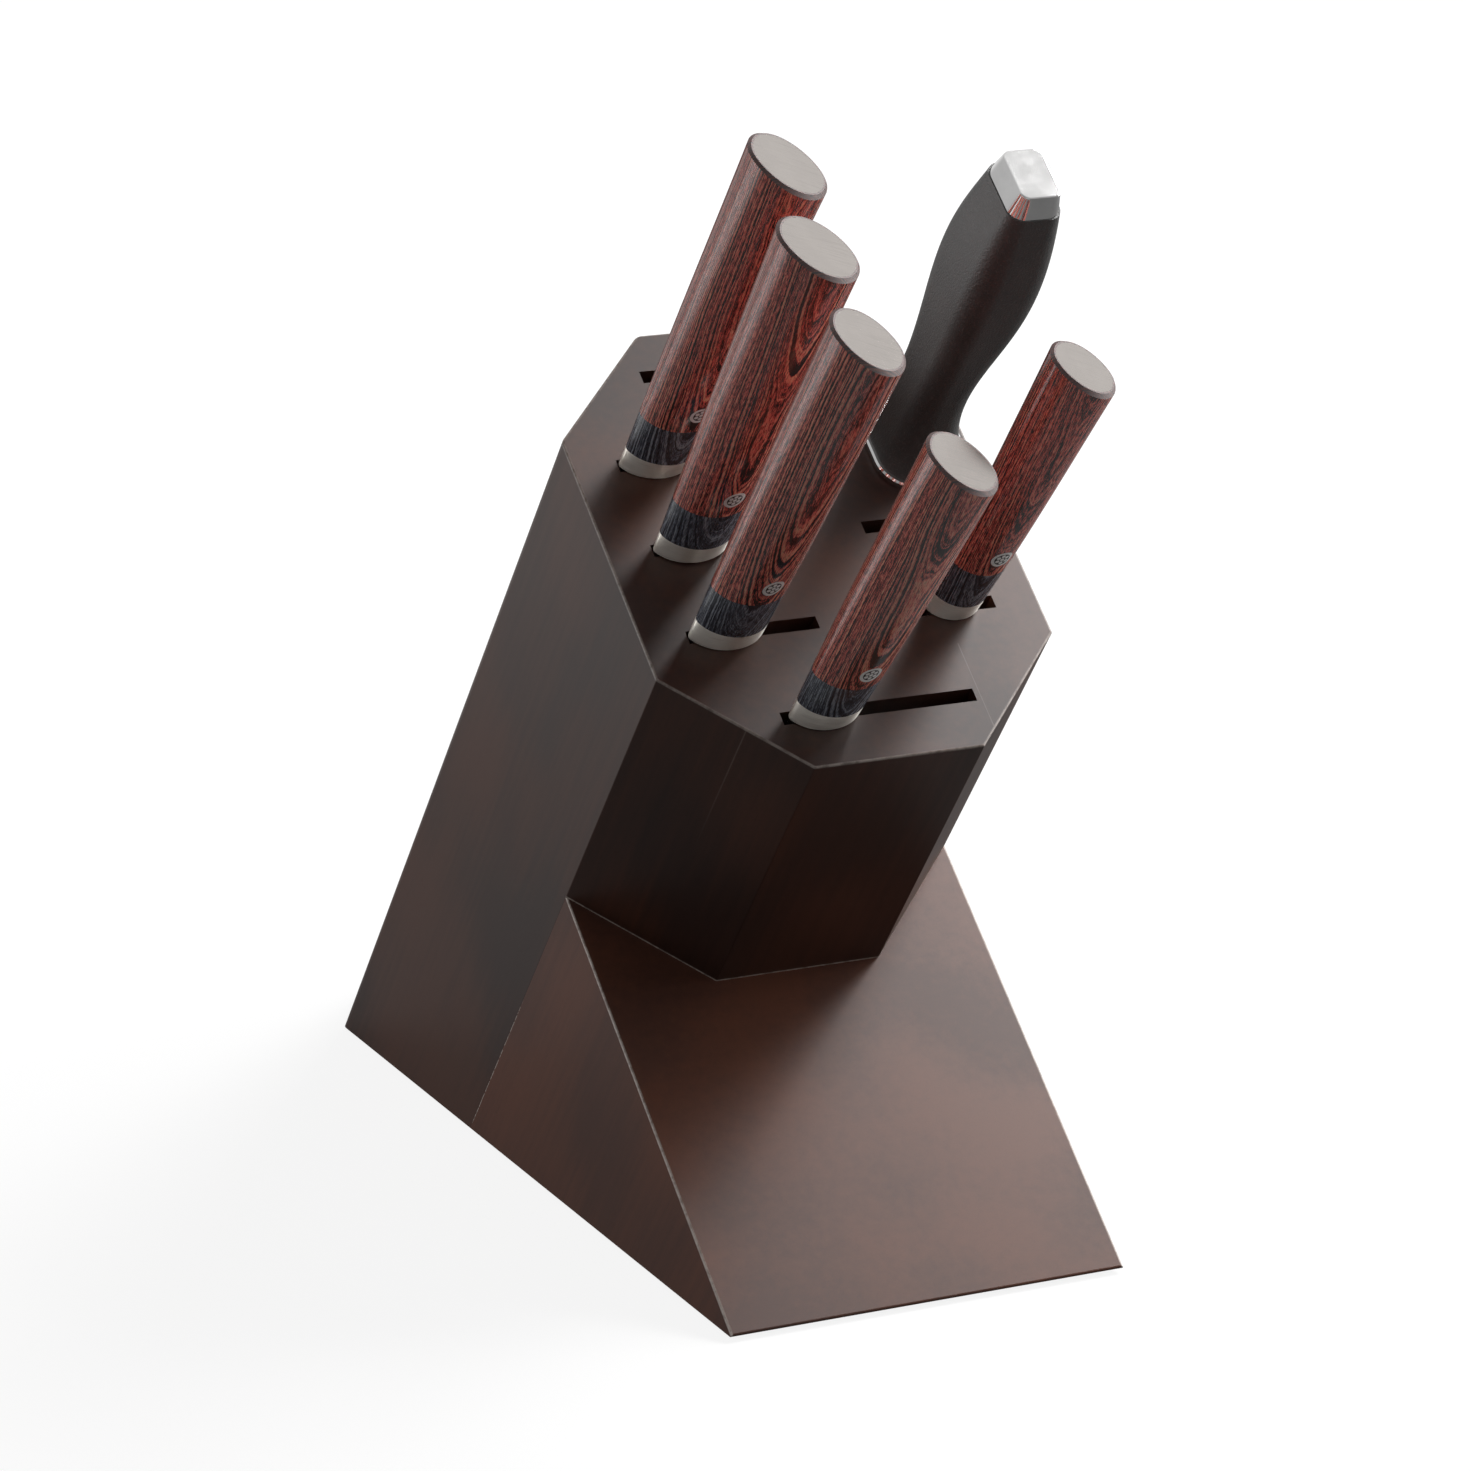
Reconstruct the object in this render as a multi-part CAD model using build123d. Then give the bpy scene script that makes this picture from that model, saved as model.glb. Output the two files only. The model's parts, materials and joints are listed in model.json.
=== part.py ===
from build123d import *
from dataclasses import dataclass
from math import cos, pi, radians, sin, tan
import os

# Leaning knife block with five kitchen knives and a honing steel, in millimetres.
# Everything is modelled upright: X to the right, Y to the back, Z up along the column of the block,
# with the middle of the column's top face at the origin. At the end the assembly is tipped forward
# by the lean angle and set on its rubber feet.

# Column: an octagon of glued boards
block_width = 120
block_depth = 152
corner_cut = 34.5
lean_angle = 40
back_edge_radius = 4
edge_radius = 0.6

# Foot: a wedge under the overhanging front of the column
front_height = 103
foot_slope = 146

# Slots: five rows of gaps between the boards, counted from the back
slot_gap = 4.2
slot_pitch = 30
back_row_y = 61
left_slot = (-46.5, -7.5)
right_slot = (17.5, 46.6)
wide_slot = (-29.2, 29)
front_slot_depth = 152

# Square channel for the honing steel, between the second and third boards
channel_x = 43
channel_y = 29
channel_size = 13

# Glue joint between the two staves of the front inner board
stave_joint_x = 30.6

# Rubber feet, measured along the underside from the front edge of the foot
pad_radius = 7
pad_height = 1.5
front_pad_x = 45
front_pad_y = 18
back_pad_x = 38
back_pad_y = 302

# Knives: what all handles share
seat_gap = 0.3
ferrule_height = 6.8
ferrule_slant = 0.09
butt_slant = 27
ferrule_point = 0.32
butt_point = 0.1
section_steps = 16
handle_swell = 0.6
handle_stations = (0, 0.2, 0.55, 1.25)
cap_rim = 1.5
cap_thickness = 3
rim_chamfer = 1
pin_radius = 3.2
spine_thickness = 2.2
edge_thickness = 0.4
spine_inset = 0.9
heel_depth = 9
choil_radius = 4
tang_length = 80

# Serrations of the bread knife
scallop_pitch = 9
scallop_depth = 1.6
scallop_start = 14

# Honing steel
rod_radius = 5.5
rod_length = 230
rod_tip_chamfer = 2
rod_tang_radius = 3.5
rod_tang_length = 70
guard_width = 29
guard_depth = 36
guard_corner = 11
guard_thickness = 2
guard_edge_chamfer = 0.5
handle_top = 106
steel_cap_height = 7
steel_cap_taper = 14

half_width = block_width / 2
half_depth = block_depth / 2
side_y = half_depth - corner_cut
lean = radians(lean_angle)
foot_front_y = -side_y - foot_slope
foot_back_z = -front_height - foot_slope * tan(lean)
column_length = 400
far = 500
rows = [back_row_y - slot_pitch * row for row in range(5)]
channel_left = channel_x - channel_size / 2
channel_right = channel_x + channel_size / 2
channel_front = channel_y - channel_size / 2
channel_back = channel_y + channel_size / 2
floor = Plane(origin=(0, foot_front_y, -front_height), x_dir=(1, 0, 0), z_dir=(0, sin(lean), cos(lean)))

parts = {}


def box_between(x=(-far, far), y=(-far, far), z=(-far, far)):
    """A box given by its low and high coordinate along each axis."""
    low = Vector(x[0], y[0], z[0])
    high = Vector(x[1], y[1], z[1])
    size = high - low
    return Pos((low + high) * 0.5) * Box(size.X, size.Y, size.Z)


def board(stock, y, x=(-far, far), z=(-far, far)):
    """The layer of a stock solid that one board or stave takes up."""
    return stock & box_between(x, y, z)


def spacers(stock, row, openings, z=(-far, far)):
    """The strips that fill a slot row on both sides of its openings."""
    strips = board(stock, gap(row), z=z)
    for opening in openings:
        strips -= box_between(x=opening)
    return strips


def gap(row):
    """Front and back face of a slot row."""
    return rows[row] - slot_gap / 2, rows[row] + slot_gap / 2


# Column stock: soft back edges, crisp front edges, cut off level with the floor
octagon = chamfer(Rectangle(block_width, block_depth).vertices(), corner_cut)
octagon = fillet(octagon.vertices().filter_by_position(Axis.Y, 0, half_depth), back_edge_radius)
octagon = fillet(octagon.vertices().filter_by_position(Axis.Y, -half_depth, -side_y + 1), edge_radius)
column = extrude(octagon, -column_length)
column = fillet(column.faces().sort_by(Axis.Z)[-1].edges(), edge_radius)
column = split(column, bisect_by=floor, keep=Keep.TOP)

# Foot stock: a right-angled wedge whose long side stands on the floor
foot_outline = Polyline(
    (0, -side_y, -front_height),
    (0, foot_front_y, -front_height),
    (0, -side_y, foot_back_z),
    close=True,
)
foot = extrude(make_face(foot_outline), half_width, dir=(1, 0, 0), both=True)
slope_face = foot.faces().sort_by(Axis.Z)[-1]
slope_edges = slope_face.edges().filter_by(Axis.Y) + slope_face.edges().sort_by(Axis.Y)[0:1]
foot = fillet(slope_edges, edge_radius)

# Boards of the column, from the back to the front
above_foot = (-front_height, far)
second_y = (gap(1)[1], gap(0)[0])
third_y = (gap(2)[1], gap(1)[0])
left_of_channel = (-far, channel_left)
over_channel = (channel_left, channel_right)
right_of_channel = (channel_right, far)
front_inner_y = (gap(4)[1], -side_y)
parts["back_board"] = board(column, (gap(0)[1], far))
parts["second_board"] = board(column, second_y, x=left_of_channel)
parts["second_board_core"] = board(column, (channel_back, second_y[1]), x=over_channel)
parts["second_board_edge"] = board(column, second_y, x=right_of_channel)
parts["third_board"] = board(column, third_y, x=left_of_channel)
parts["third_board_core"] = board(column, (third_y[0], channel_front), x=over_channel)
parts["third_board_edge"] = board(column, third_y, x=right_of_channel)
parts["fourth_board"] = board(column, (gap(3)[1], gap(2)[0]))
parts["fifth_board"] = board(column, (-side_y, gap(3)[0]))
parts["front_inner_board"] = board(column, front_inner_y, x=(-far, stave_joint_x), z=above_foot)
parts["front_inner_stave"] = board(column, front_inner_y, x=(stave_joint_x, far), z=above_foot)
parts["front_board"] = board(column, (-far, gap(4)[0]), z=above_foot)

# Spacer strips of the five slot rows
parts["spacers_row_1"] = spacers(column, 0, [wide_slot])
parts["spacers_row_2"] = spacers(column, 1, [left_slot, over_channel])
parts["spacers_row_3"] = spacers(column, 2, [left_slot, right_slot])
parts["spacers_row_4"] = spacers(column, 3, [left_slot, right_slot])
parts["spacers_row_5"] = spacers(column, 4, [wide_slot], z=above_foot)

# Foot: the front slot runs on into it, so it is layered as the column is
slot_bottom = board(foot, gap(4), x=wide_slot, z=(-far, -front_slot_depth))
parts["foot_back_board"] = board(foot, (gap(4)[1], -side_y))
parts["foot_spacers"] = Compound(spacers(foot, 4, [wide_slot]).solids() + slot_bottom.solids())
parts["foot_wedge"] = board(foot, (-far, gap(4)[0]))

# Four rubber feet under the corners
pad = Pos(0, 0, -pad_height / 2) * Cylinder(pad_radius, pad_height)
pad_places = [(x, front_pad_y) for x in (-front_pad_x, front_pad_x)]
pad_places += [(x, back_pad_y) for x in (-back_pad_x, back_pad_x)]
parts["rubber_feet"] = Compound([floor * Pos(x, y, 0) * pad for x, y in pad_places])


@dataclass
class Knife:
    """One knife: where it stands in the block, its blade, and its handle from ferrule to butt."""

    name: str
    x: float
    row: int
    blade_length: float
    blade_height: float
    spine_straight: float
    edge_straight: float
    tip_drop: float
    serrated: bool = False
    ferrule_width: float = 22.4
    ferrule_thickness: float = 12
    collar_top: float = 22.5
    pin_height: float = 30
    pin_offset: float = 1.3
    butt_width: float = 25
    butt_thickness: float = 23
    butt_shift: float = 5.2
    handle_length: float = 122.5
    tilt: float = 0
    lift: float = 0


knives = [
    Knife(
        "bread_knife", x=-35.1, row=1,
        blade_length=250, blade_height=34, spine_straight=0.88, edge_straight=0.84, tip_drop=0.55,
        serrated=True, butt_width=26.4, butt_shift=4.5,
    ),
    Knife(
        "carving_knife", x=-35.1, row=2,
        blade_length=225, blade_height=32, spine_straight=0.5, edge_straight=0.45, tip_drop=0.3,
        butt_width=27, handle_length=123.8, tilt=-1.6, lift=0.4,
    ),
    Knife(
        "chef_knife", x=-35.1, row=3,
        blade_length=200, blade_height=37, spine_straight=0.45, edge_straight=0.35, tip_drop=0.35,
    ),
    Knife(
        "santoku_knife", x=-16.6, row=4,
        blade_length=138, blade_height=45, spine_straight=0.5, edge_straight=0.3, tip_drop=0.82,
        ferrule_width=21.2, ferrule_thickness=11.4, collar_top=20.6, pin_height=27.4, pin_offset=0.8,
        butt_width=24.4, butt_thickness=21.8, butt_shift=7.2, handle_length=107,
    ),
    Knife(
        "paring_knife", x=33.8, row=3,
        blade_length=88, blade_height=17.5, spine_straight=0.3, edge_straight=0.25, tip_drop=0.5,
        ferrule_width=16.4, ferrule_thickness=10, pin_offset=0.8,
        butt_width=23, butt_thickness=20, butt_shift=5.6, handle_length=102,
    ),
]


def handle_section(knife, share, inset=0):
    """Pointed oval at a share of a handle's length; it is most pointed and swells fastest at the ferrule."""
    width = knife.ferrule_width + (knife.butt_width - knife.ferrule_width) * share
    swell = share**handle_swell
    thickness = knife.ferrule_thickness + (knife.butt_thickness - knife.ferrule_thickness) * swell
    point = ferrule_point + (butt_point - ferrule_point) * share
    outline = []
    for step in range(section_steps):
        turn = 2 * pi * step / section_steps
        bulge = sin(turn) * abs(sin(turn)) ** point
        outline.append(((width / 2 - inset) * cos(turn), (thickness / 2 - inset) * bulge))
    oval = make_face(Spline(*outline, periodic=True))
    return Pos(knife.butt_shift * share, 0, seat_gap + knife.handle_length * share) * oval


def handle_form(knife, inset=0):
    """The whole outside of a handle, longer than needed so that the slanted butt can be cut."""
    return loft([handle_section(knife, share, inset) for share in handle_stations])


def blade_profile(knife):
    """Side view of a blade: spine and edge bend in one arc each to the tip, and the heel has a choil."""
    spine = spine_inset - knife.ferrule_width / 2
    edge = spine + knife.blade_height
    neck = knife.ferrule_width / 2 - spine_inset
    tip = (spine + knife.tip_drop * knife.blade_height, 0, -knife.blade_length)
    spine_bend = (spine, 0, -knife.spine_straight * knife.blade_length)
    edge_bend = (edge, 0, -knife.edge_straight * knife.blade_length)
    heel = (edge, 0, -heel_depth)
    choil_end = (neck + choil_radius, 0, -heel_depth)
    choil_start = (neck, 0, choil_radius - heel_depth)
    outline = [
        Line((spine, 0, seat_gap), spine_bend),
        TangentArc(spine_bend, tip, tangent=(0, 0, -1)),
        TangentArc(edge_bend, tip, tangent=(0, 0, -1)),
        Line(edge_bend, heel),
        Line(heel, choil_end),
        TangentArc(choil_end, choil_start, tangent=(-1, 0, 0)),
        Line(choil_start, (neck, 0, seat_gap)),
        Line((neck, 0, seat_gap), (spine, 0, seat_gap)),
    ]
    return make_face(outline)


def ground_blade(knife):
    """A flat-ground blade: the profile, thinned evenly from the spine to the edge."""
    spine = spine_inset - knife.ferrule_width / 2
    edge = spine + knife.blade_height
    grind = Polyline(
        (spine, -spine_thickness / 2),
        (edge, -edge_thickness / 2),
        (edge, edge_thickness / 2),
        (spine, spine_thickness / 2),
        close=True,
    )
    wedge = Pos(0, 0, -knife.blade_length) * extrude(make_face(grind), knife.blade_length + seat_gap)
    blade = extrude(blade_profile(knife), spine_thickness, dir=(0, 1, 0), both=True) & wedge
    if knife.serrated:
        blade -= scallops(edge, knife.edge_straight * knife.blade_length)
    return blade


def scallops(edge, last):
    """Round cutters along a straight edge, which leave pointed teeth between them."""
    radius = (scallop_pitch**2 / 4 + scallop_depth**2) / (2 * scallop_depth)
    count = int((last - scallop_start) / scallop_pitch)
    cutter = Pos(edge + radius - scallop_depth, 0, 0) * Rot(90, 0, 0) * Cylinder(radius, 2 * spine_thickness)
    return [Pos(0, 0, -scallop_start - scallop_pitch * (tooth + 0.5)) * cutter for tooth in range(count)]


def stick_tang(knife):
    """The narrow tang that runs up inside the handle."""
    root = 0.28 * knife.ferrule_width
    end = 0.2 * knife.ferrule_width
    shift = knife.butt_shift * tang_length / knife.handle_length
    outline = Polyline(
        (-root, 0, seat_gap),
        (root, 0, seat_gap),
        (shift + end, 0, tang_length),
        (shift - end, 0, tang_length),
        close=True,
    )
    return extrude(make_face(outline), spine_thickness / 2, dir=(0, 1, 0), both=True)


def make_knife(knife):
    """All six pieces of a knife, set in its slot row."""
    form = handle_form(knife)
    tang = stick_tang(knife)
    ferrule_plane = Plane(origin=(0, 0, ferrule_height), z_dir=(ferrule_slant, 0, 1))
    collar_plane = Plane(origin=(0, 0, knife.collar_top))
    butt_normal = Vector(sin(radians(butt_slant)), 0, cos(radians(butt_slant)))
    butt_middle = Vector(knife.butt_shift, 0, knife.handle_length)
    butt_plane = Plane(origin=butt_middle, z_dir=butt_normal)
    pocket_plane = Plane(origin=butt_middle - butt_normal * cap_thickness, z_dir=butt_normal)

    ferrule = split(form, bisect_by=ferrule_plane, keep=Keep.BOTTOM)
    above_ferrule = split(form, bisect_by=ferrule_plane, keep=Keep.TOP)
    collar = split(above_ferrule, bisect_by=collar_plane, keep=Keep.BOTTOM)
    above_collar = split(above_ferrule, bisect_by=collar_plane, keep=Keep.TOP)
    grip = split(above_collar, bisect_by=butt_plane, keep=Keep.BOTTOM)
    grip = chamfer(grip.faces().sort_by(Axis.Z)[-1].edges(), rim_chamfer)
    core = split(handle_form(knife, cap_rim), bisect_by=butt_plane, keep=Keep.BOTTOM)
    end_cap = split(core, bisect_by=pocket_plane, keep=Keep.TOP)

    pin_x = knife.butt_shift * knife.pin_height / knife.handle_length + knife.pin_offset
    pin_middle = Pos(pin_x, 0, knife.pin_height)
    pin_rod = pin_middle * Rot(90, 0, 0) * Cylinder(pin_radius, knife.butt_thickness * 2)
    pieces = {
        "blade": ground_blade(knife) + tang - pin_rod,
        "ferrule": ferrule - tang,
        "collar": collar - tang,
        "grip": grip - end_cap - tang - pin_rod,
        "pin": form & pin_rod,
        "end_cap": end_cap,
    }
    place = Pos(knife.x, rows[knife.row], knife.lift) * Rot(0, knife.tilt, 0)
    for piece, shape in pieces.items():
        parts[f"{knife.name}_{piece}"] = place * shape


for knife in knives:
    make_knife(knife)


@dataclass
class HandleRing:
    """A rounded rectangle that the honing steel's handle passes through."""

    height: float
    width: float
    depth: float
    corner: float
    shift: float = 0

    def face(self):
        return Pos(self.shift, 0, self.height) * RectangleRounded(self.width, self.depth, self.corner)


# Honing steel: rod, flat guard, moulded handle with a waist and a belly, and a bevelled metal cap
guard_top = seat_gap + guard_thickness
rod = Pos(0, 0, seat_gap - rod_length / 2) * Cylinder(rod_radius, rod_length)
rod = chamfer(rod.faces().sort_by(Axis.Z)[0].edges(), rod_tip_chamfer)
rod_tang = Pos(0, 0, seat_gap + rod_tang_length / 2) * Cylinder(rod_tang_radius, rod_tang_length)
guard_face = Plane((0, 0, seat_gap)) * RectangleRounded(guard_width, guard_depth, guard_corner)
guard = extrude(guard_face, guard_thickness)
guard = chamfer(guard.faces().sort_by(Axis.Z)[-1].edges(), guard_edge_chamfer)
handle_rings = [
    HandleRing(guard_top, 26.2, 33.2, 10, -0.2),
    HandleRing(9, 21, 27, 8, -0.9),
    HandleRing(24, 17, 21.6, 6.6, -1.4),
    HandleRing(50, 19.8, 24.8, 6.6, -0.3),
    HandleRing(77, 22.6, 28.8, 7),
    HandleRing(94, 20, 25.8, 6),
    HandleRing(handle_top, 16.2, 21.4, 4.4),
]
handle = loft([ring.face() for ring in handle_rings])
cap_ring = HandleRing(handle_top, 15.6, 20.8, 4.6)
steel_cap = extrude(cap_ring.face(), steel_cap_height, taper=steel_cap_taper)
steel_cap = fillet(steel_cap.faces().sort_by(Axis.Z)[-1].edges(), edge_radius)
steel_pieces = {
    "honing_rod": rod + rod_tang,
    "honing_guard": guard - rod_tang,
    "honing_handle": handle - rod_tang,
    "honing_end_cap": steel_cap,
}
for name, shape in steel_pieces.items():
    parts[name] = Pos(channel_x, channel_y, 0) * shape

# Tip the block forward, and stand it on its feet over the middle of its outline
tipped = {name: Rot(lean_angle, 0, 0) * shape for name, shape in parts.items()}
outline = Compound([solid for shape in tipped.values() for solid in shape.solids()]).bounding_box()
stand = Pos(-outline.center().X, -outline.center().Y, -outline.min.Z)
os.makedirs("parts", exist_ok=True)
for name, shape in tipped.items():
    export_step(stand * shape, f"parts/{name}.step")

pad_spots = [stand * Rot(lean_angle, 0, 0) * floor.location * Pos(x, y, -pad_height) for x, y in pad_places]
print("nodes", len(parts), "overall size", outline.size, "shift", stand.position)
print("pad middles", [spot.position for spot in pad_spots])
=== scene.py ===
import json
from math import atan2, cos, radians, sin

import bpy
from mathutils import Matrix, Vector


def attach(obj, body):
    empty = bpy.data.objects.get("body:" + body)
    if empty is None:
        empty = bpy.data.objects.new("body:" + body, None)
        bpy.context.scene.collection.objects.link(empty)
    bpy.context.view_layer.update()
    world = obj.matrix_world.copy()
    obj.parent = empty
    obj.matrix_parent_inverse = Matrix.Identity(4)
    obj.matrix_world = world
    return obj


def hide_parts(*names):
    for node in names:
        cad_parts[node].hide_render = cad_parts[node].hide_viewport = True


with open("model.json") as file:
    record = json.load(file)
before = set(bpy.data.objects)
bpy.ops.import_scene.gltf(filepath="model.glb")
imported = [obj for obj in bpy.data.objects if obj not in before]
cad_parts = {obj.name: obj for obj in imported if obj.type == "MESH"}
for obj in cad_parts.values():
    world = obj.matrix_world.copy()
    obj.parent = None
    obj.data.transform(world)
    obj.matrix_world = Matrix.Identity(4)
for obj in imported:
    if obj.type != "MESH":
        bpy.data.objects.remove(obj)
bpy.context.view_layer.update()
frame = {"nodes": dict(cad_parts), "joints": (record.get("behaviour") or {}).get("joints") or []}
nodes = frame["nodes"]

# The block: boards of plain hardwood glued face to face, with slot-thick strips between them and a
# wedge for a foot. All of it is stained espresso brown under a thin satin lacquer, which has worn
# through to paler wood along the sharp edges. The pale edge lines are also a painted highlight:
# they are lightened to stand in for the glint on the rounded edges.
millimetre = 0.001
draw_axis = Vector(frame["joints"][0]["axis"])
lean = atan2(-draw_axis.y, draw_axis.z)
upright = Matrix.Rotation(-lean, 3, "X")


def upright_points(name):
    """A node's points with the block stood upright, still in metres."""
    return [upright @ vertex.co for vertex in nodes[name].data.vertices]


back_points = upright_points("back_board")
front_points = upright_points("front_board")
middle_y = (max(p.y for p in back_points) + min(p.y for p in front_points)) / 2
block_origin = upright.transposed() @ Vector((0, middle_y, max(p.z for p in back_points)))


def put(tree, kind, inputs, **options):
    """Adds a shader node, fills or links its inputs, and gives its first output."""
    made = tree.nodes.new("ShaderNode" + kind)
    for option, value in options.items():
        setattr(made, option, value)
    for key, value in inputs.items():
        socket = made.inputs[key]
        if isinstance(value, bpy.types.NodeSocket):
            tree.links.new(value, socket)
        elif socket.type == "RGBA":
            socket.default_value = (*value, 1)
        else:
            socket.default_value = value
    return made.outputs[0]


def calc(tree, operation, first, second=0.0):
    """One sum of two numbers."""
    return put(tree, "Math", {0: first, 1: second}, operation=operation)


def ease(tree, value, low, high, start=0.0, end=1.0):
    """A soft step from start to end while the value goes from low to high."""
    ends = {"From Min": low, "From Max": high, "To Min": start, "To Max": end}
    return put(tree, "MapRange", {"Value": value, **ends}, interpolation_type="SMOOTHSTEP")


def blend(tree, share, first, second, way="MIX"):
    """Two colours laid over each other. A mix node keeps its colours in sockets 6, 7 and 2."""
    colours = {0: share, 6: first, 7: second}
    return put(tree, "Mix", colours, data_type="RGBA", blend_type=way).node.outputs[2]


def darken(tree, colour, share):
    """A colour times a grey of the given brightness."""
    grey = put(tree, "CombineColor", {0: share, 1: share, 2: share})
    return blend(tree, 1.0, colour, grey, "MULTIPLY")


def clouds(tree, place, size, offset=0.0, detail=2.0, roughness=0.5):
    """Soft noise with blobs of about the given size in millimetres."""
    scale = [1 / side for side in size]
    settings = {"Location": (offset, offset, offset), "Scale": scale}
    stretched = put(tree, "Mapping", {"Vector": place, **settings})
    return put(tree, "TexNoise", {"Vector": stretched, "Scale": 1, "Detail": detail, "Roughness": roughness})


def start_finish(name, **values):
    """A new material, its main shader, and millimetres along the upright block."""
    finish = bpy.data.materials.new(name)
    finish.use_nodes = True
    tree = finish.node_tree
    shader = tree.nodes["Principled BSDF"]
    for socket, value in values.items():
        shader.inputs[socket.replace("_", " ")].default_value = value
    coordinates = put(tree, "TexCoord", {}).node.outputs["Object"]
    settings = {"Location": block_origin, "Rotation": (lean, 0, 0), "Scale": [millimetre] * 3}
    place = put(tree, "Mapping", {"Vector": coordinates, **settings}, vector_type="TEXTURE")
    return finish, tree, shader, place


def fill(tree, shader, **sockets):
    """Links patterns to the main shader."""
    for socket, value in sockets.items():
        tree.links.new(value, shader.inputs[socket.replace("_", " ")])


def relief(tree, height, depth, strength=1.0):
    """Bump of the given depth in metres."""
    return put(tree, "Bump", {"Height": height, "Distance": depth, "Strength": strength})


def dress(finish, *names):
    """Puts a material on CAD nodes."""
    for name in names:
        slots = nodes[name].material_slots
        for slot in slots:
            slot.material = finish
        if not slots:
            nodes[name].data.materials.append(finish)


# Edges and glue lines in millimetres along the upright block, from the middle of its top.
half_width = 60
half_depth = 76
corner_sum = 101.5
diagonal = 0.7071
joint_z = -103
foot_y = -41.5
front_glue_y = -61.1
front_glue_low, front_glue_high = -60, -5
stave_glue_x = 30.6
open_joint_high, open_joint_low = -152, -166
# Widths of the pale edge lines, which are worn lacquer and a painted highlight in one.
edge_line_core, edge_line_fade = 0.25, 0.8
glue_core, glue_fade = 0.05, 0.22
joint_core, joint_fade = 0.1, 0.4
top_rim_share = 0.6
glue_share = 0.12


def along(tree, value, level, core=edge_line_core, fade=edge_line_fade):
    """1 where a value is at a level, fading out on both sides of it."""
    away = calc(tree, "ABSOLUTE", calc(tree, "SUBTRACT", value, level))
    return ease(tree, away, core, fade, 1, 0)


def column_wear_and_glint(tree, x, y, z, broken):
    """Where the column's pale lines go: worn lacquer with a painted highlight on its top rim and lower rim,
    and two faint glue lines in the same colour.
    """
    across = calc(tree, "ABSOLUTE", x)
    sides = calc(tree, "ADD", along(tree, across, half_width), along(tree, y, half_depth))
    sides = calc(tree, "ADD", sides, along(tree, y, -half_depth))
    for side in ("SUBTRACT", "ADD"):
        corner = calc(tree, "MULTIPLY", calc(tree, side, across, y), diagonal)
        sides = calc(tree, "ADD", sides, along(tree, corner, diagonal * corner_sum))
    lower = calc(tree, "MULTIPLY", along(tree, z, joint_z), ease(tree, y, foot_y + 0.4, foot_y - 0.2))
    rims = calc(tree, "ADD", calc(tree, "MULTIPLY", along(tree, z, 0), top_rim_share), lower)
    rubbed_and_glinting = calc(tree, "MULTIPLY", calc(tree, "MINIMUM", sides, 1.0), rims)
    front_glue = along(tree, y, front_glue_y, glue_core, glue_fade)
    front_glue = calc(tree, "MULTIPLY", front_glue, ease(tree, z, front_glue_low, front_glue_high))
    front_glue = calc(tree, "MULTIPLY", front_glue, ease(tree, z, -0.2, -0.6))
    stave_glue = along(tree, x, stave_glue_x, glue_core, glue_fade)
    stave_glue = calc(tree, "MULTIPLY", stave_glue, ease(tree, y, foot_y + 0.2, foot_y - 0.2))
    glue = calc(tree, "MULTIPLY", calc(tree, "MAXIMUM", front_glue, stave_glue), glue_share)
    return calc(tree, "MAXIMUM", calc(tree, "MULTIPLY", rubbed_and_glinting, broken), glue)


def foot_wear_and_glint(tree, x, y, z, broken):
    """Where the foot's pale lines go: worn lacquer with a painted highlight on its side edges, and the open
    joint behind it.
    """
    side = along(tree, calc(tree, "ABSOLUTE", x), half_width)
    rubbed_and_glinting = calc(tree, "MULTIPLY", along(tree, z, joint_z), side)
    joint = along(tree, y, foot_y, joint_core, joint_fade)
    joint = calc(tree, "MULTIPLY", joint, ease(tree, z, open_joint_high, open_joint_low))
    joint = calc(tree, "MULTIPLY", joint, calc(tree, "MULTIPLY", side, ease(tree, broken, 0.5, 0.8)))
    return calc(tree, "MAXIMUM", calc(tree, "MULTIPLY", rubbed_and_glinting, broken), joint)


cloud_size = (42, 42, 70)
streak_size = (3, 3, 80)
pore_size = (0.4, 0.4, 8)
worn_patch = (2.5, 2.5, 2.5)
cloud_share, streak_share = 0.75, 0.25
pore_dark = 0.88
lacquer_dull, lacquer_bright = 0.4, 0.36
grain_depth = 0.00003
# Pale wood where the lacquer is worn, lightened further as a painted highlight for the glint of the rounded
# edges.
worn_glint_colour = (0.60, 0.52, 0.47)


def stained_wood(name, offset, stain_dark, stain_warm, wear_and_glint):
    """Stained, lacquered wood with the grain along the column."""
    finish, tree, shader, place = start_finish(name, Specular_IOR_Level=0.4)
    x = put(tree, "SeparateXYZ", {0: place})
    y, z = x.node.outputs[1], x.node.outputs[2]
    broad = clouds(tree, place, cloud_size, offset, 1.5, 0.45)
    streak = clouds(tree, place, streak_size, offset, 3, 0.55)
    pore = clouds(tree, place, pore_size, offset, 2, 0.6)
    figure = calc(tree, "MULTIPLY", streak, streak_share)
    figure = calc(tree, "ADD", figure, calc(tree, "MULTIPLY", broad, cloud_share))
    colour = blend(tree, ease(tree, figure, 0.32, 0.68), stain_dark, stain_warm)
    pores = ease(tree, pore, 0.3, 0.46, pore_dark, 1)
    colour = darken(tree, colour, pores)
    broken = ease(tree, clouds(tree, place, worn_patch, offset, 3, 0.7), 0.3, 0.6, 0.4, 0.9)
    # The pale edge lines: worn lacquer and a painted highlight on the rounded edges.
    colour = blend(tree, wear_and_glint(tree, x, y, z, broken), colour, worn_glint_colour)
    gloss = ease(tree, figure, 0.35, 0.65, lacquer_dull, lacquer_bright)
    height = calc(tree, "ADD", calc(tree, "MULTIPLY", pores, 0.5), calc(tree, "MULTIPLY", streak, 0.6))
    fill(tree, shader, Base_Color=colour, Roughness=gloss, Normal=relief(tree, height, grain_depth, 0.5))
    return finish


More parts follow.
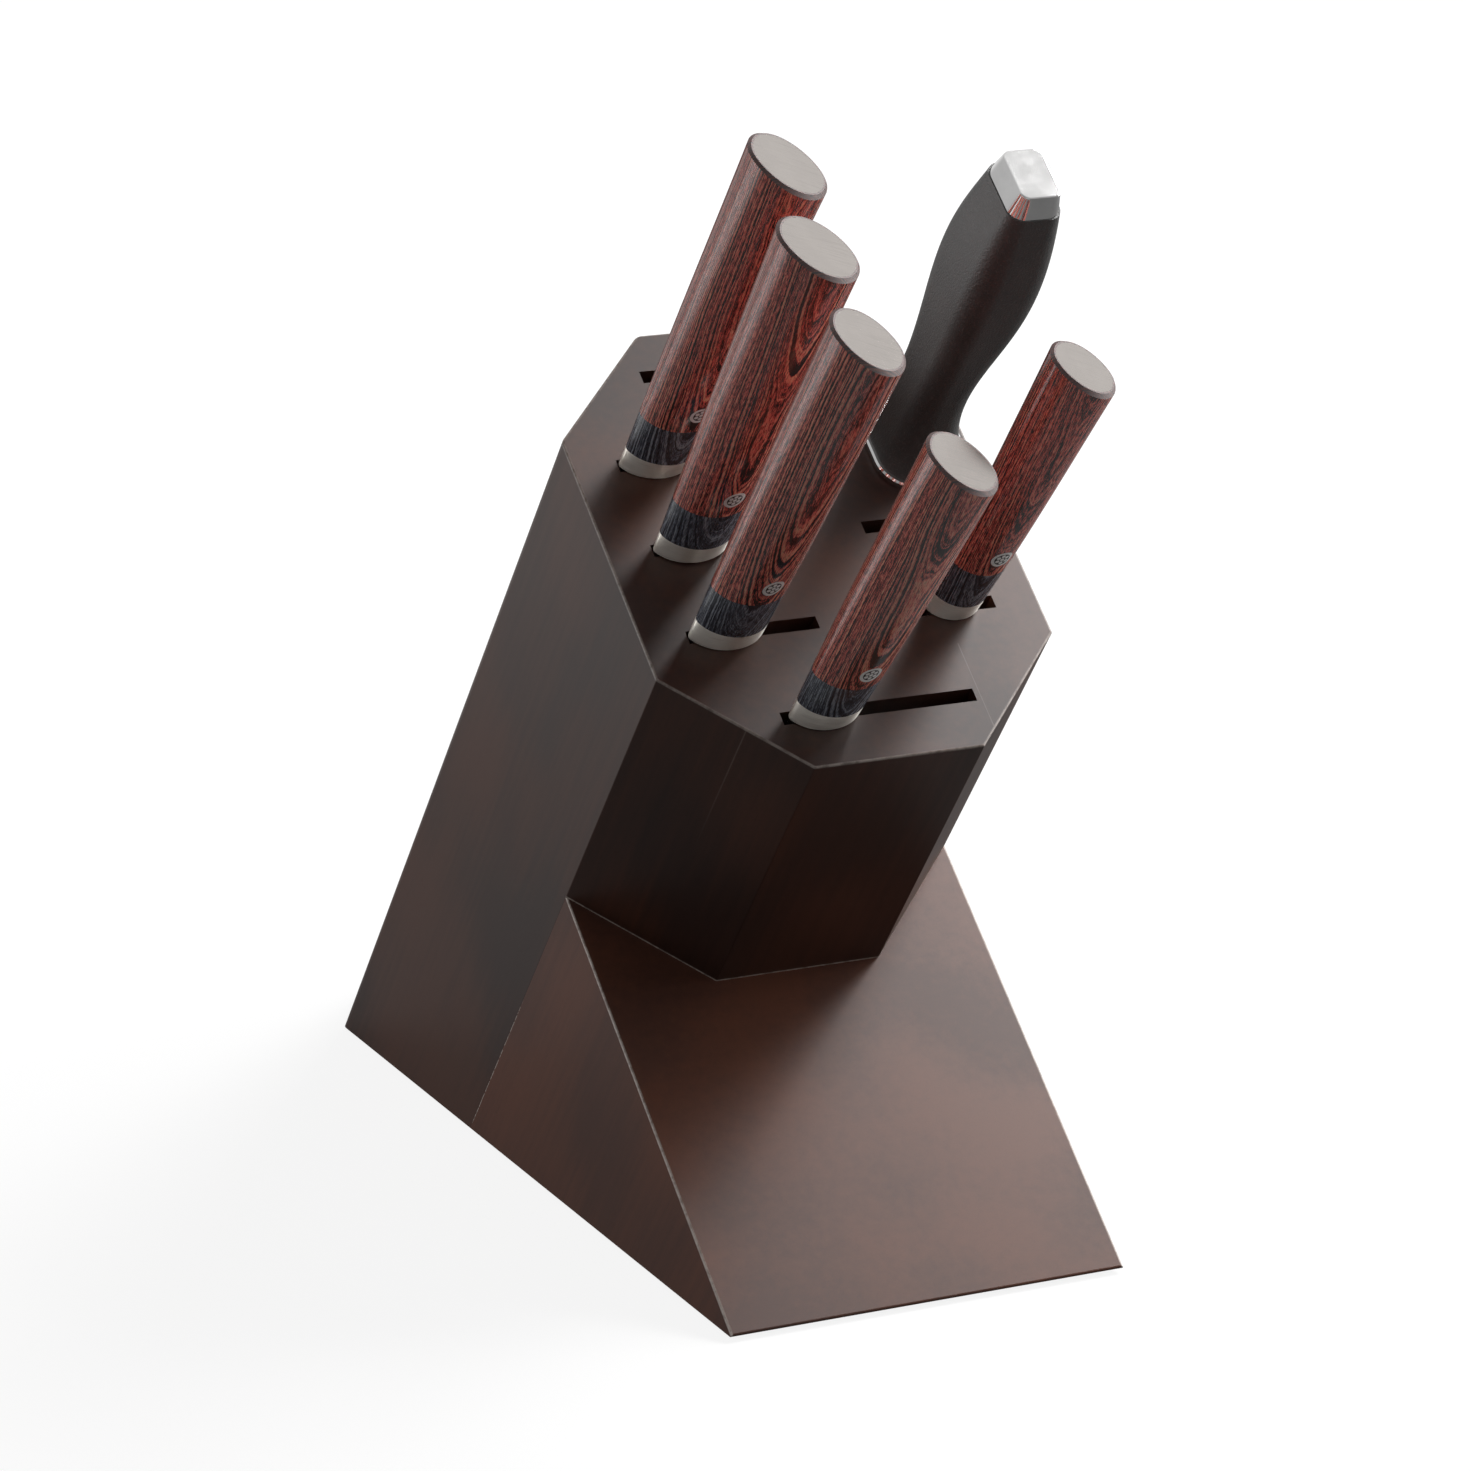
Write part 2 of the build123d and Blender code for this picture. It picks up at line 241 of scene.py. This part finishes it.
boards = [
    "back_board", "second_board", "second_board_core", "second_board_edge", "third_board",
    "third_board_core", "third_board_edge", "fourth_board", "fifth_board", "front_inner_board",
    "front_inner_stave", "front_board",
]
strips = [f"spacers_row_{row}" for row in range(1, 6)]
foot = ["foot_back_board", "foot_spacers", "foot_wedge"]
column_stains = (0.030, 0.0140, 0.0106), (0.074, 0.0272, 0.0156)
foot_stains = (0.072, 0.0278, 0.0180), (0.132, 0.0470, 0.0264)
column_offset, foot_offset = 0.0, 3.7
column_finish = stained_wood("stained column wood", column_offset, *column_stains, column_wear_and_glint)
dress(column_finish, *boards, *strips)
foot_finish = stained_wood("stained foot wood", foot_offset, *foot_stains, foot_wear_and_glint)
dress(foot_finish, *foot)

# Four small pads of black rubber, glued under the block so that it stands without sliding.
# They are moulded flat and matt, with a dusty bloom.
bloom_size = (1.2, 1.2, 1.2)
bloom_depth = 0.00008
rubber_black = (0.012, 0.012, 0.012)
rubber_dusty = (0.035, 0.034, 0.033)
pad_finish, tree, shader, place = start_finish("pad rubber", Roughness=0.8, Specular_IOR_Level=0.3)
bloom = clouds(tree, place, bloom_size, 0, 4, 0.7)
pad_colour = blend(tree, ease(tree, bloom, 0.4, 0.7), rubber_black, rubber_dusty)
fill(tree, shader, Base_Color=pad_colour, Normal=relief(tree, bloom, bloom_depth, 0.5))
dress(pad_finish, "rubber_feet")

# The blades: each is forged and ground from one bar of steel, with a satin face whose fine grinding
# lines run across the blade. The tang goes up inside the handle.
knives = ["bread", "carving", "chef", "santoku", "paring"]
haze_size = (9, 9, 9)
line_dark = 0.45
blade_steel = (0.80, 0.80, 0.79)
blade_lines = (24, 4, 0.22)


def ground_steel(name, colour, roughness, lines, depth, clouding=1.05, spread=0.08):
    """Bare steel with grinding lines of the given size in millimetres."""
    finish, tree, shader, place = start_finish(name, Metallic=1.0)
    line = clouds(tree, place, lines, 0, 3, 0.65)
    haze = clouds(tree, place, haze_size, 5, 3, 0.6)
    paler = [clouding * part for part in colour]
    darker = [line_dark * part for part in colour]
    tint = blend(tree, ease(tree, haze, 0.35, 0.65), colour, paler)
    tint = blend(tree, ease(tree, line, 0.3, 0.5, 0.25, 0), tint, darker)
    rough = ease(tree, line, 0.25, 0.75, roughness - spread, roughness + spread)
    fill(tree, shader, Base_Color=tint, Roughness=rough, Normal=relief(tree, line, depth))
    return finish


blade_finish = ground_steel("ground blade steel", blade_steel, 0.27, blade_lines, depth=0.000006)
dress(blade_finish, *[f"{knife}_knife_blade" for knife in knives])

# The ferrules: sleeves of satin steel, pushed up the tang between blade and handle. They are brushed
# round the handle, which draws a light out to a streak along it.
ferrule_steel = (0.97, 0.925, 0.85)
ferrule_lines = (9, 9, 0.2)
ferrule_finish = ground_steel("satin ferrule steel", ferrule_steel, 0.44, ferrule_lines,
                              depth=0.000004, clouding=1.03)
tree = ferrule_finish.node_tree
shader = tree.nodes["Principled BSDF"]
shader.inputs["Anisotropic"].default_value = 0.8
fill(tree, shader, Tangent=put(tree, "CombineXYZ", dict(enumerate(draw_axis))))
dress(ferrule_finish, *[f"{knife}_knife_ferrule" for knife in knives])

# The end caps: flat plates of satin steel, let into the slanted butt of each grip over the end of the
# tang. They are ground flush with the wood and brushed along their length.
end_caps = [f"{knife}_knife_end_cap" for knife in knives]
cap_steel = (0.51, 0.47, 0.44)
cap_lines = (18, 0.14, 18)
cap_finish = ground_steel("satin cap steel", cap_steel, 0.17, cap_lines,
                          depth=0.0000005, clouding=1.04, spread=0.03)
dress(cap_finish, *end_caps)

# The grips and collars: wood veneers stacked across the handle, dyed, soaked with resin and pressed,
# then shaped, so that the layers show as straight stripes on the spine and as long loops on the
# faces. The grips are red and black, the collars blue-black.
layer = 0.38
wave_size, wave_height = (24, 24, 90), 5
ripple_size, ripple_height = (6, 6, 30), 0.8
fibre_size, fibre_share, fibre_depth = (0.28, 0.28, 3.2), 0.7, 0.00002
fleck_size, fleck_dark = (0.32, 0.32, 2.0), 0.45
stack_shift = 31.7
end_grain_dark, end_grain_rough = 0.14, 0.6
grip_gloss, collar_gloss = 0.16, 0.2
grip_layers = [
    (0.0, (0.022, 0.013, 0.013)), (0.34, (0.042, 0.020, 0.019)), (0.43, (0.260, 0.054, 0.047)),
    (0.52, (0.720, 0.140, 0.115)), (0.70, (0.860, 0.235, 0.180)), (0.92, (0.900, 0.440, 0.285)),
]
collar_layers = [
    (0.0, (0.016, 0.018, 0.024)), (0.36, (0.042, 0.046, 0.062)), (0.56, (0.120, 0.130, 0.165)),
    (0.85, (0.34, 0.355, 0.40)),
]


def stripes(tree, value, colours):
    """A colour ramp through the given places."""
    ramp = put(tree, "ValToRGB", {"Fac": value})
    elements = ramp.node.color_ramp.elements
    while len(elements) < len(colours):
        elements.new(0.5)
    for element, (position, colour) in zip(elements, colours):
        element.position = position
        element.color = (*colour, 1)
    return ramp


def laminate(name, middle, offset, colours, gloss):
    """Pressed dyed veneers round the middle of one handle, in block millimetres."""
    finish, tree, shader, place = start_finish(name, Specular_IOR_Level=1.0)
    local = put(tree, "Mapping", {"Vector": place, "Location": (-middle.x, -middle.y, 0)})
    y = put(tree, "SeparateXYZ", {0: local}).node.outputs[1]
    wave = clouds(tree, local, wave_size, offset, 1, 0.4)
    ripple = clouds(tree, local, ripple_size, offset + 4, 2, 0.5)
    shifted = calc(tree, "ADD", y, calc(tree, "MULTIPLY", wave, wave_height))
    shifted = calc(tree, "ADD", shifted, calc(tree, "MULTIPLY", ripple, ripple_height))
    depth = calc(tree, "ADD", calc(tree, "DIVIDE", shifted, layer), offset * stack_shift)
    layers = {"W": depth, "Scale": 1, "Detail": 3, "Roughness": 0.7}
    band = put(tree, "TexNoise", layers, noise_dimensions="1D")
    fibre = clouds(tree, local, fibre_size, offset, 3, 0.7)
    uneven = calc(tree, "MULTIPLY", calc(tree, "SUBTRACT", fibre, 0.5), fibre_share)
    level = ease(tree, calc(tree, "ADD", band, uneven), 0.22, 0.8)
    colour = stripes(tree, level, colours)
    outward = put(tree, "NewGeometry", {}).node.outputs["Normal"]
    facing = put(tree, "VectorMath", {0: outward, 1: draw_axis}, operation="DOT_PRODUCT")
    end_grain = ease(tree, facing.node.outputs["Value"], 0.2, 0.45)
    dark = ease(tree, end_grain, 0, 1, 1, end_grain_dark)
    fleck = ease(tree, clouds(tree, local, fleck_size, offset + 2, 2, 0.6), 0.36, 0.48, fleck_dark, 1)
    colour = darken(tree, colour, calc(tree, "MULTIPLY", dark, fleck))
    rough = ease(tree, fibre, 0.3, 0.7, gloss + 0.06, gloss - 0.04)
    rough = calc(tree, "MAXIMUM", rough, calc(tree, "MULTIPLY", end_grain, end_grain_rough))
    fill(tree, shader, Base_Color=colour, Roughness=rough, Normal=relief(tree, fibre, fibre_depth, 0.5))
    return finish


def handle_middle(knife):
    """Middle of a knife's ferrule in block millimetres."""
    points = upright_points(f"{knife}_knife_ferrule")
    x = (min(p.x for p in points) + max(p.x for p in points)) / 2
    y = (min(p.y for p in points) + max(p.y for p in points)) / 2
    return Vector((x, y - middle_y, 0)) / millimetre


for number, knife in enumerate(knives):
    middle = handle_middle(knife)
    grip_offset = 1.3 + 2.17 * number
    collar_offset = 9.1 + 1.71 * number
    grip_finish = laminate(f"{knife} grip laminate", middle, grip_offset, grip_layers, grip_gloss)
    collar_finish = laminate(f"{knife} collar laminate", middle, collar_offset, collar_layers, collar_gloss)
    dress(grip_finish, f"{knife}_knife_grip")
    dress(collar_finish, f"{knife}_knife_collar")

# The pins: a steel tube through grip and tang, filled with black resin round seven steel wires and
# ground flush with the grip.
tube_inside, tube_edge = 2.3, 0.08
wire_circle = 1.45
wire_radius, wire_edge = 0.62, 0.06
sixth = radians(60)
scuff_size = (0.6, 0.6, 0.6)
pin_depth = 0.00003
pin_metal_share = 0.4
pin_resin = (0.012, 0.011, 0.011)
pin_steel_dull = (0.84, 0.83, 0.81)
pin_steel_bright = (0.95, 0.94, 0.92)


def length(tree, across, up):
    """How far a point is from the middle."""
    squares = calc(tree, "MULTIPLY", across, across), calc(tree, "MULTIPLY", up, up)
    return calc(tree, "SQRT", calc(tree, "ADD", *squares))


def pin_finish(name, middle):
    """Tube, resin and wires round a pin's axis, which runs along the block's depth."""
    finish, tree, shader, place = start_finish(name, Roughness=0.5)
    x = put(tree, "SeparateXYZ", {0: put(tree, "Mapping", {"Vector": place, "Location": -middle})})
    z = x.node.outputs[2]
    radius = length(tree, x, z)
    turn = calc(tree, "FLOORED_MODULO", calc(tree, "ARCTAN2", z, x), sixth)
    turn = calc(tree, "SUBTRACT", turn, sixth / 2)
    out = calc(tree, "SUBTRACT", calc(tree, "MULTIPLY", radius, calc(tree, "COSINE", turn)), wire_circle)
    aside = calc(tree, "MULTIPLY", radius, calc(tree, "SINE", turn))
    nearest = calc(tree, "MINIMUM", length(tree, out, aside), radius)
    wires = ease(tree, nearest, wire_radius - wire_edge, wire_radius + wire_edge, 1, 0)
    tube = ease(tree, radius, tube_inside - tube_edge, tube_inside + tube_edge)
    steel = calc(tree, "MAXIMUM", wires, tube)
    scuff = clouds(tree, place, scuff_size, 0, 3, 0.6)
    bright = blend(tree, ease(tree, scuff, 0.35, 0.65), pin_steel_dull, pin_steel_bright)
    fill(tree, shader, Base_Color=blend(tree, steel, pin_resin, bright))
    fill(tree, shader, Metallic=calc(tree, "MULTIPLY", steel, pin_metal_share))
    fill(tree, shader, Normal=relief(tree, calc(tree, "ADD", steel, scuff), pin_depth, 0.6))
    return finish


for knife in knives:
    points = upright_points(f"{knife}_knife_pin")
    low = Vector((min(p.x for p in points), 0, min(p.z for p in points)))
    high = Vector((max(p.x for p in points), 0, max(p.z for p in points)))
    middle = ((low + high) / 2 - upright @ block_origin) / millimetre
    dress(pin_finish(f"{knife} mosaic pin", middle), f"{knife}_knife_pin")

# The honing steel's rod: drawn round from hard steel, rolled with fine ridges along its length,
# rounded over at the tip and chromed. Its tang is pressed up into the handle.
rod_points = upright_points("honing_rod")
rod_x = (min(p.x for p in rod_points) + max(p.x for p in rod_points)) / 2
rod_y = (min(p.y for p in rod_points) + max(p.y for p in rod_points)) / 2
rod_radius = max(p.x for p in rod_points) - rod_x
rod_foot = min(p.z for p in rod_points)
rod_shoulder = max(p.z for p in rod_points if p.x - rod_x > 0.9 * rod_radius)
ridges = 40
groove_share = 0.955
tip_round = 0.0018
tip_steps = 4
ridge_angle = radians(20)
rod_steel = (0.6, 0.6, 0.6)
rod_lines = (0.35, 0.35, 200)

bpy.ops.object.select_all(action="DESELECT")
rod_start = {"location": (rod_x, rod_y, rod_foot), "vertices": 2 * ridges, "radius": rod_radius}
bpy.ops.mesh.primitive_circle_add(fill_type="NGON", **rod_start)
rod = bpy.context.object
rod.name = "ridged_honing_rod"
bpy.ops.object.transform_apply(location=True)
bpy.ops.object.mode_set(mode="EDIT")
bpy.ops.mesh.select_mode(type="VERT")
bpy.ops.mesh.select_all(action="DESELECT")
bpy.ops.object.mode_set(mode="OBJECT")
for number, vertex in enumerate(rod.data.vertices):
    vertex.select = number % 2 == 0
bpy.ops.object.mode_set(mode="EDIT")
groove = (groove_share, groove_share, 1)
bpy.ops.transform.resize(value=groove, center_override=(rod_x, rod_y, rod_foot))
bpy.ops.mesh.select_all(action="SELECT")
rod_rise = {"value": (0, 0, rod_shoulder - rod_foot)}
bpy.ops.mesh.extrude_region_move(TRANSFORM_OT_translate=rod_rise)
bpy.ops.mesh.select_mode(type="EDGE")
bpy.ops.mesh.select_all(action="DESELECT")
bpy.ops.object.mode_set(mode="OBJECT")
for edge in rod.data.edges:
    edge.select = all(rod.data.vertices[end].co.z < rod_foot + tip_round / 2 for end in edge.vertices)
bpy.ops.object.mode_set(mode="EDIT")
bpy.ops.mesh.bevel(offset=tip_round, segments=tip_steps)
bpy.ops.mesh.select_all(action="SELECT")
bpy.ops.mesh.normals_make_consistent(inside=False)
bpy.ops.object.mode_set(mode="OBJECT")
rod.rotation_euler = (lean, 0, 0)
bpy.ops.object.transform_apply(rotation=True)
bpy.ops.object.shade_smooth_by_angle(angle=ridge_angle)
rod_finish = ground_steel("ridged rod steel", rod_steel, 0.3, rod_lines, depth=0.000006)
rod.data.materials.append(rod_finish)
dress(rod_finish, "honing_rod")
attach(rod, "honing_steel")
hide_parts("honing_rod")

# Its guard and end cap: zinc castings, polished and plated bright. The guard sits on the rod's shoulder
# below the handle, and the cap closes the top of the handle.
mist_size = (6, 6, 6)
plate_dull, plate_bright = (0.69, 0.686, 0.682), (0.74, 0.736, 0.732)
plate_smooth, plate_hazy = 0.08, 0.11
plate_finish, tree, shader, place = start_finish("polished plate", Metallic=1.0)
mist = clouds(tree, place, mist_size, 0, 4, 0.65)
plate_colour = blend(tree, ease(tree, mist, 0.3, 0.7), plate_dull, plate_bright)
plate_rough = ease(tree, mist, 0.3, 0.7, plate_smooth, plate_hazy)
fill(tree, shader, Base_Color=plate_colour, Roughness=plate_rough)
dress(plate_finish, "honing_guard", "honing_end_cap")

# Its handle: black nylon, moulded over the tang between guard and end cap. The mould is spark-eroded,
# which gives the handle a fine grain and a dull sheen.
grain_size = (0.55, 0.55, 0.55)
mould_depth = 0.00022
shade_size = (14, 14, 22)
nylon_black, nylon_grey = (0.027, 0.0256, 0.0243), (0.042, 0.0400, 0.0380)
nylon_speck = (0.11, 0.107, 0.104)
handle_finish, tree, shader, place = start_finish("black moulded handle", Specular_IOR_Level=0.7)
grain = clouds(tree, place, grain_size, 0, 3, 0.6)
shade = clouds(tree, place, shade_size, 3, 2, 0.5)
handle_colour = blend(tree, ease(tree, shade, 0.35, 0.7), nylon_black, nylon_grey)
handle_colour = blend(tree, ease(tree, grain, 0.52, 0.72, 0, 0.5), handle_colour, nylon_speck)
handle_rough = ease(tree, grain, 0.3, 0.7, 0.42, 0.54)
handle_relief = relief(tree, grain, mould_depth, 0.9)
fill(tree, shader, Base_Color=handle_colour, Roughness=handle_rough, Normal=handle_relief)
dress(handle_finish, "honing_handle")

# The floor: a wide pale table top, white to the eye, which keeps the shadow of the block. What is
# mirrored of it is a painted reflection: a glow that is dimmer near the block, a painted shadow of
# the block, and dimmer on the right, with a bright painted patch at the left where a white card
# would lie.
floor_size = 30
floor_grey = 0.14
patch_middle = (-0.65, 0.15, 0)
patch_edge, patch_core, patch_glow = 0.38, 0.2, 1.2
near_block, far_off = 0.4, 1.05
# The mirrored glow is dimmer near the block: a painted shadow of the block.
near_glow, far_glow = 0.1, 0.45
right_glow = 0.1
seen_near, seen_far = 0.88, 1.0
bpy.ops.object.select_all(action="DESELECT")
bpy.ops.mesh.primitive_plane_add(size=floor_size, location=(0, 0, 0))
floor = bpy.context.object
floor.name = "studio_floor"
floor_finish = bpy.data.materials.new("pale floor")
floor_finish.use_nodes = True
tree = floor_finish.node_tree
shader = tree.nodes["Principled BSDF"]
shader.inputs["Base Color"].default_value = (floor_grey, floor_grey, floor_grey, 1)
shader.inputs["Roughness"].default_value = 1
shader.inputs["Specular IOR Level"].default_value = 0
path = put(tree, "LightPath", {}).node.outputs
mirrored = calc(tree, "MAXIMUM", path["Is Glossy Ray"], path["Is Transmission Ray"])
spot = put(tree, "TexCoord", {}).node.outputs["Object"]
away = put(tree, "VectorMath", {0: spot}, operation="LENGTH").node.outputs["Value"]
aside = put(tree, "SeparateXYZ", {0: spot})
from_patch = put(tree, "VectorMath", {0: spot, 1: patch_middle}, operation="DISTANCE").node.outputs["Value"]
# A bright painted patch in the floor's reflection, where a white card would lie at the left.
card = ease(tree, from_patch, patch_edge, patch_core, 0, patch_glow)
painted_reflection = calc(tree, "ADD", ease(tree, away, near_block, far_off, near_glow, far_glow), card)
painted_reflection = calc(tree, "MULTIPLY", painted_reflection, ease(tree, aside, 0.3, -0.15, right_glow, 1.0))
seen = calc(tree, "MULTIPLY", path["Is Camera Ray"], ease(tree, away, 0.35, 1.5, seen_near, seen_far))
strength = calc(tree, "ADD", seen, calc(tree, "MULTIPLY", mirrored, painted_reflection))
shader.inputs["Emission Color"].default_value = (1, 1, 1, 1)
fill(tree, shader, Emission_Strength=strength)
floor.data.materials.append(floor_finish)

# The light: a white room, dim in front of the block and on the left, with a large soft box overhead
# at the right, a wide card beside it and a small card low on the left. Small black flags keep the
# lamps off the polished caps, which would flash white.
room_front, room_back = 0.46, 0.9
room_left, room_right = 0.65, 1.0
room_scattered = 0.19
world = bpy.data.worlds.new("white room")
bpy.context.scene.world = world
world.use_nodes = True
tree = world.node_tree
background = tree.nodes["Background"]
path = put(tree, "LightPath", {}).node.outputs
mirrored = calc(tree, "MAXIMUM", path["Is Glossy Ray"], path["Is Transmission Ray"])
direction = put(tree, "TexCoord", {}).node.outputs["Generated"]
beside = put(tree, "SeparateXYZ", {0: direction})
behind = beside.node.outputs[1]
room = calc(tree, "MULTIPLY", mirrored, ease(tree, behind, -0.6, 0.1, room_front, room_back))
room = calc(tree, "MULTIPLY", room, ease(tree, beside, -0.7, 0.1, room_left, room_right))
scattered = calc(tree, "SUBTRACT", 1.0, calc(tree, "MAXIMUM", path["Is Camera Ray"], mirrored))
unseen = calc(tree, "MULTIPLY", scattered, room_scattered)
strength = calc(tree, "ADD", path["Is Camera Ray"], calc(tree, "ADD", room, unseen))
tree.links.new(strength, background.inputs["Strength"])
background.inputs["Color"].default_value = (1, 1, 1, 1)


def soft_box(name, position, aim, width, height, power):
    """A rectangular studio light that faces a point."""
    light = bpy.data.lights.new(name, "AREA")
    light.shape = "RECTANGLE"
    light.size = width
    light.size_y = height
    light.energy = power
    lamp = bpy.data.objects.new(name, light)
    bpy.context.scene.collection.objects.link(lamp)
    lamp.location = position
    lamp.rotation_euler = (Vector(aim) - Vector(position)).to_track_quat("-Z", "Y").to_euler()
    return lamp


def flag(lamps, names):
    """Keeps lamps off pieces, as a small black flag does."""
    shaded = bpy.data.collections.new("flagged pieces")
    for name in names:
        shaded.objects.link(nodes[name])
    for piece in shaded.collection_objects:
        piece.light_linking.link_state = "EXCLUDE"
    for lamp in lamps:
        lamp.light_linking.receiver_collection = shaded


overhead_box = soft_box("overhead box", (1.35, 0.0, 1.72), aim=(0, 0, 0.15), width=0.8, height=0.8, power=42)
right_card = soft_box("right card", (1.85, -0.15, 0.5), aim=(0, 0, 0.2), width=1.0, height=1.0, power=26)
left_card = soft_box("left card", (-1.2, 0.7, 0.25), aim=(0, 0, 0.1), width=0.7, height=0.4, power=5)
flag([overhead_box, right_card], end_caps)
flag([left_card], ["honing_end_cap"])

# The camera: a long lens about a metre and a half away, to the left of the block and a little above
# it, as in a catalogue picture.
image_width, image_height = 1470, 1471
focal_pixels = 5293.97
sensor = 36
azimuth = -0.425650153
elevation = 0.263459031
roll = -0.00905276574
distance = 1.47076
target = Vector((-0.0225653, block_origin.y, 0.1466453))
backward = Vector((sin(azimuth) * cos(elevation), -cos(azimuth) * cos(elevation), sin(elevation)))
level_x = Vector((0, 0, 1)).cross(backward).normalized()
level_y = backward.cross(level_x)
camera_x = cos(roll) * level_x + sin(roll) * level_y
camera_y = cos(roll) * level_y - sin(roll) * level_x
lens = bpy.data.cameras.new("catalogue lens")
lens.sensor_width = sensor
lens.lens = focal_pixels * sensor / max(image_width, image_height)
camera = bpy.data.objects.new("catalogue camera", lens)
bpy.context.scene.collection.objects.link(camera)
turn = Matrix((camera_x, camera_y, backward)).transposed().to_4x4()
camera.matrix_world = Matrix.Translation(target + distance * backward) @ turn
bpy.context.scene.camera = camera
bpy.context.scene.view_settings.view_transform = "Standard"
